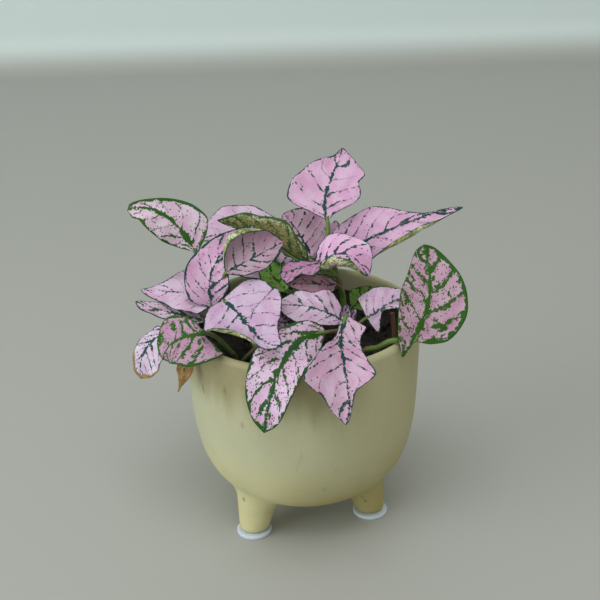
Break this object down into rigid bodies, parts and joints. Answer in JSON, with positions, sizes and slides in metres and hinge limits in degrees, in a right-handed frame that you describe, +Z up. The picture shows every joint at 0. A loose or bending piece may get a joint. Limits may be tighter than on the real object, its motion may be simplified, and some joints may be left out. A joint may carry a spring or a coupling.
{
  "type": "potted polka dot plant",
  "caption": "Small footed ceramic pot filled with soil, holding a bushy polka dot plant with pink, green-veined leaves.",
  "frame": {"origin": "on the surface that the object stands on, under the centre of the whole object's box; the pot's axis stands 1.9 mm to the right of it and 3.5 mm behind it", "axes": "+Z up along the pot's axis, +X to the right as seen from the pictured front, +Y to the back"},
  "size_m": [0.14, 0.1202, 0.1612],
  "materials": {
    "pot_ceramic": "matte pale yellow-green",
    "pad_silicone": "translucent bluish white, satin",
    "potting_soil": "rough, very dark brown",
    "foliage": "pink leaf with dark green veins and margin, satin",
    "reddish_stalk": "dull reddish brown"
  },
  "bodies": {
    "root": {"pot": "pot_ceramic", "pad_left": "pad_silicone", "pad_right": "pad_silicone", "pad_back": "pad_silicone", "soil": "potting_soil", "stem_main": "foliage", "stem_left": "foliage", "stem_left_front": "foliage", "stem_centre": "foliage", "stem_front": "foliage", "stem_right": "foliage", "stem_back": "foliage", "stalk_bare": "reddish_stalk"}
  },
  "joints": []
}
